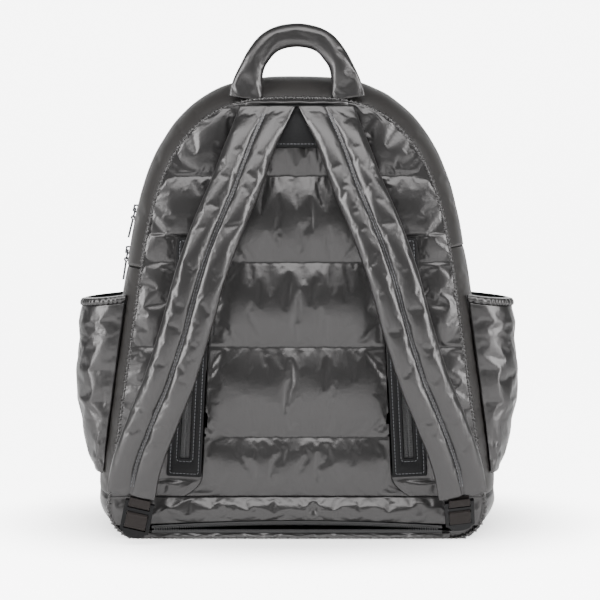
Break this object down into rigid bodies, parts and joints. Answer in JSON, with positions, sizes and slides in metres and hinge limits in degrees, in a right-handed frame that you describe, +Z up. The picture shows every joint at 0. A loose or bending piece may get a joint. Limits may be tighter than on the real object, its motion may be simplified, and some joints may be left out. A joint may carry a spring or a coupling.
{
  "type": "diaper bag backpack",
  "caption": "Quilted dome-top backpack with padded shoulder straps on ladder locks, a carry handle, open side pockets and a zipped mouth along the foot of its back.",
  "frame": {"origin": "centre of the flat base, on the surface that the bag stands on", "axes": "+Z up, the straps face -Y, +X to the right as the strap side is looked at"},
  "size_m": [0.449, 0.2234, 0.5],
  "materials": {
    "quilted_nylon": "glossy metallic",
    "plain_trim": "matte",
    "black_plastic": "satin",
    "woven_webbing": "matte",
    "zip_coil": "satin",
    "cast_metal": "polished dark"
  },
  "bodies": {
    "root": {"gusset_rear_strip": "quilted_nylon", "main_zip": "zip_coil", "gusset_front_strip": "quilted_nylon", "side_gusset_left": "quilted_nylon", "side_gusset_right": "quilted_nylon", "base_panel": "quilted_nylon", "back_panel_centre": "quilted_nylon", "back_panel_left": "quilted_nylon", "back_panel_right": "quilted_nylon", "sleeve_patch_left": "plain_trim", "sleeve_patch_right": "plain_trim", "sleeve_zip_left": "zip_coil", "sleeve_zip_right": "zip_coil", "yoke_tab": "plain_trim", "bottom_flap": "quilted_nylon", "mouth_lip": "quilted_nylon", "mouth_zip_lower": "zip_coil", "mouth_zip_upper": "zip_coil", "front_panel": "quilted_nylon", "side_pocket_left": "quilted_nylon", "side_pocket_right": "quilted_nylon", "pocket_hem_left": "quilted_nylon", "pocket_hem_right": "quilted_nylon", "shoulder_strap_left": "quilted_nylon", "shoulder_strap_right": "quilted_nylon", "carry_handle": "quilted_nylon", "ladder_lock_left": "black_plastic", "ladder_lock_right": "black_plastic", "strap_loop_left": "woven_webbing", "strap_loop_right": "woven_webbing", "lower_webbing_left": "woven_webbing", "lower_webbing_right": "woven_webbing", "zip_slider_upper": "cast_metal", "zip_slider_lower": "cast_metal", "zip_link_upper": "cast_metal", "zip_link_lower": "cast_metal", "zip_pull_upper": "cast_metal", "zip_pull_lower": "cast_metal"}
  },
  "joints": []
}
